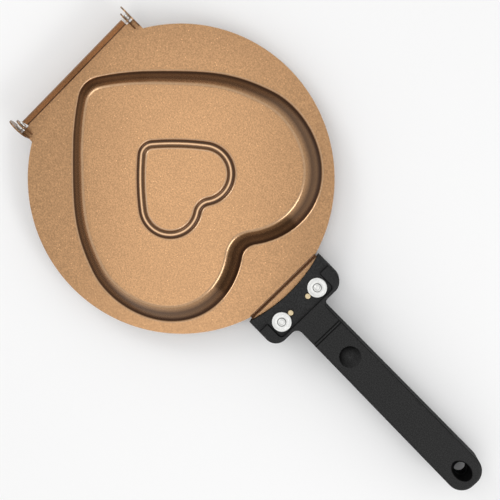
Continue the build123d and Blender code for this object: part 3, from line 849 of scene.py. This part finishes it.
class PinHinge(bpy.types.Operator):
    """Put the two headed pins through the ears of both halves, each with a collar between the ears"""
    bl_idname = "pancake_pan.pin_hinge"
    bl_label = "Pin Hinge"

    def execute(self, context):
        r = context.scene.pancake_pan_fasteners.pin_radius
        head = [(0, 49.75), (1.9, 49.75), (2.4, 49.95), (2.6, 50.3), (2.6, 50.8), (2.5, 50.95), (r, 50.95)]
        collar = [(r, 52.25), (2.3, 52.25), (2.4, 52.35), (2.4, 54.5), (2.3, 54.6), (r, 54.6)]
        end = [(r, 55.45), (r - 0.2, 55.6), (0, 55.6)]
        for name, sign in (("left", 1), ("right", -1)):
            bm = bmesh.new()
            lathe(bm, head + collar + end, 40)
            turn = Matrix.Rotation(-sign * pi / 2, 4, "X")
            bmesh.ops.transform(bm, matrix=Matrix.Translation((AXIS[0], 0, AXIS[1])) @ turn, verts=bm.verts)
            pin = new_piece(name + "_hinge_pin", bm, turned_aluminium())
            stand_for(pin, "hinge_pin_" + name)
        return {"FINISHED"}


# The photo's camera, and lights with their place (right, up in the picture, towards the viewer), the way
# of their length, their width and length, and the setting with their power. Metres from the closed rims.
CAMERA_RIGHT = (0.6993, 0.7104, -0.0792)
CAMERA_UP = (-0.7146, 0.6973, -0.0553)
LAMPS = (("soft_overhead", (-0.16, -0.16, 1.25), (0, 1), (0.35, 0.9), "soft_light"),
         ("hinge_side", (-0.7, 0.7, 0.75), (1, 1), (0.5, 0.5), "hinge_light"),
         ("edge_light", (0.95, -0.75, 0.85), (0, 1), (0.35, 0.7), "side_light"))


class SetStage(bpy.types.Operator):
    """Lay the pale floor and set the camera, the soft lights and the room"""
    bl_idname = "pancake_pan.set_stage"
    bl_label = "Set Stage"

    def lamp(self, name, spot, along, width, length, power):
        """Area light turned to the pan, with its length as near as can be to a direction."""
        light = bpy.data.lights.new(name, "AREA")
        light.shape = "RECTANGLE"
        light.size, light.size_y = width, length
        light.energy = power
        stand = bpy.data.objects.new(name, light)
        bpy.context.scene.collection.objects.link(stand)
        back = (spot - HOME).normalized()
        across = along.cross(back).normalized()
        pose = Matrix((across, back.cross(across), back)).transposed().to_4x4()
        pose.translation = spot
        stand.matrix_world = pose

    def execute(self, context):
        s = context.scene.pancake_pan_stage
        scene = context.scene
        scene.view_settings.view_transform = "Standard"
        bm = bmesh.new()
        corners = [bm.verts.new((x, y, 0)) for x, y in ((-3, -3), (3, -3), (3, 3), (-3, 3))]
        bm.faces.new(corners)
        mesh = bpy.data.meshes.new("floor")
        bm.to_mesh(mesh)
        bm.free()
        shown("floor", mesh, pale_floor())

        right, up = (Vector(way).normalized() for way in (CAMERA_RIGHT, CAMERA_UP))
        camera = bpy.data.cameras.new("photo_camera")
        camera.sensor_width = 36
        camera.lens = s.lens
        view = bpy.data.objects.new("photo_camera", camera)
        scene.collection.objects.link(view)
        pose = Matrix((right, up, right.cross(up))).transposed().to_4x4()
        pose.translation = HOME + Vector(s.camera_place)
        view.matrix_world = pose
        scene.camera = view

        east = Vector((1, 1, 0)).normalized()
        north = Vector((-1, 1, 0)).normalized()
        high = Vector((0, 0, 1))
        for name, (e, n, h), along, area, setting in LAMPS:
            self.lamp(name, HOME + east * e + north * n + high * h, east * along[0] + north * along[1], *area,
                      getattr(s, setting))
        world = bpy.data.worlds.new("room")
        world.use_nodes = True
        world.node_tree.nodes["Background"].inputs["Color"].default_value = (1, 1, 1, 1)
        world.node_tree.nodes["Background"].inputs["Strength"].default_value = s.room_light
        scene.world = world
        return {"FINISHED"}


STEPS = (PressShells, MouldHandles, FitWashers, RollRivets, SetStuds, PinHinge, SetStage)


class PancakePanPanel(bpy.types.Panel):
    bl_label = "Pancake Pan"
    bl_idname = "VIEW3D_PT_pancake_pan"
    bl_space_type = "VIEW_3D"
    bl_region_type = "UI"
    bl_category = "Pancake Pan"

    def draw(self, context):
        for step in STEPS:
            self.layout.operator(step.bl_idname)
        for group in GROUPS:
            box = self.layout.box()
            for prop in GROUPS[group].__annotations__:
                box.prop(getattr(context.scene, group), prop)


GROUPS = {
    "pancake_pan_shells": PancakePanShellSizes,
    "pancake_pan_handles": PancakePanHandleSizes,
    "pancake_pan_fasteners": PancakePanFastenerSizes,
    "pancake_pan_colours": PancakePanColours,
    "pancake_pan_stage": PancakePanStageSettings,
}


def register():
    for group in GROUPS.values():
        bpy.utils.register_class(group)
    for name, group in GROUPS.items():
        setattr(bpy.types.Scene, name, PointerProperty(type=group))
    for step in STEPS + (PancakePanPanel,):
        bpy.utils.register_class(step)


def unregister():
    for step in reversed(STEPS + (PancakePanPanel,)):
        bpy.utils.unregister_class(step)
    for name, group in GROUPS.items():
        delattr(bpy.types.Scene, name)
        bpy.utils.unregister_class(group)


def main():
    register()
    for step in STEPS:
        call = bpy.ops
        for part in step.bl_idname.split("."):
            call = getattr(call, part)
        call()


if __name__ == "__main__":
    main()
